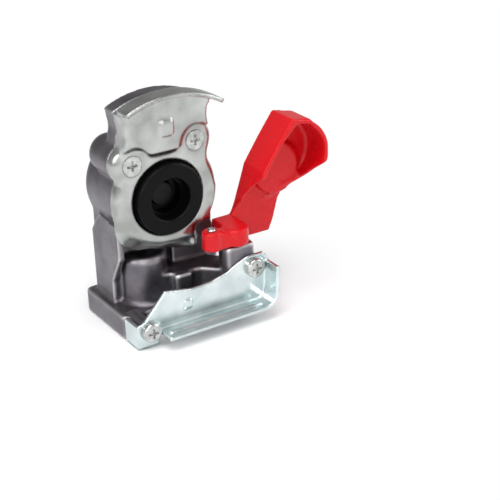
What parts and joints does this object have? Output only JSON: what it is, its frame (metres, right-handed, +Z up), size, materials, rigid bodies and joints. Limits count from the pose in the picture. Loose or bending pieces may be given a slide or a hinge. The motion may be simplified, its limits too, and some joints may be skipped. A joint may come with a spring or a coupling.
{
  "type": "air brake coupling head",
  "caption": "Cast coupling head for a trailer air brake line, with pressed steel claw plate, rubber face seal, hinged red cover, guide bracket and a sprung shut-off valve.",
  "frame": {"origin": "centre of the threaded port's mouth, in the underside of the base", "axes": "+Z up along the port axis, -Y out of the coupling face, +X to the right along the face, towards the cover's hinge"},
  "size_m": [0.1063, 0.0616, 0.1115],
  "materials": {
    "cast_aluminium": "die-cast, fine blasted skin",
    "plate_zinc": "pressed sheet, bright zinc plated",
    "screw_zinc": "bright zinc plated",
    "seal_rubber": "moulded black rubber",
    "cover_plastic": "glossy moulded red",
    "pin_steel": "turned, bright",
    "bracket_zinc": "pressed sheet, clear zinc plated",
    "valve_plastic": "moulded",
    "guide_plastic": "moulded"
  },
  "bodies": {
    "head": {"housing": "cast_aluminium", "claw_plate": "plate_zinc", "plate_screw_left": "screw_zinc", "plate_screw_right": "screw_zinc", "sealing_ring": "seal_rubber", "hinge_pin": "pin_steel", "guide_bracket": "bracket_zinc", "bracket_screw_lower": "screw_zinc", "bracket_screw_upper": "screw_zinc", "valve_guide": "guide_plastic", "valve_spring": "pin_steel"},
    "cover": {"cover": "cover_plastic", "stop_pin": "pin_steel"},
    "valve": {"valve_plunger": "valve_plastic"}
  },
  "joints": [
    {"name": "cover_hinge", "type": "hinge", "parent": "head", "child": "cover", "pos_m": [0.037, -0.0275, 0.04], "axis": [0, 0, -1], "range_deg": [0, 180]},
    {"name": "valve_slide", "type": "slide", "parent": "head", "child": "valve", "axis": [0, 1, 0], "range_m": [0, 0.0035], "stiffness_N_per_m": 900, "springref_m": -0.004, "deforming": ["valve_spring"]}
  ]
}
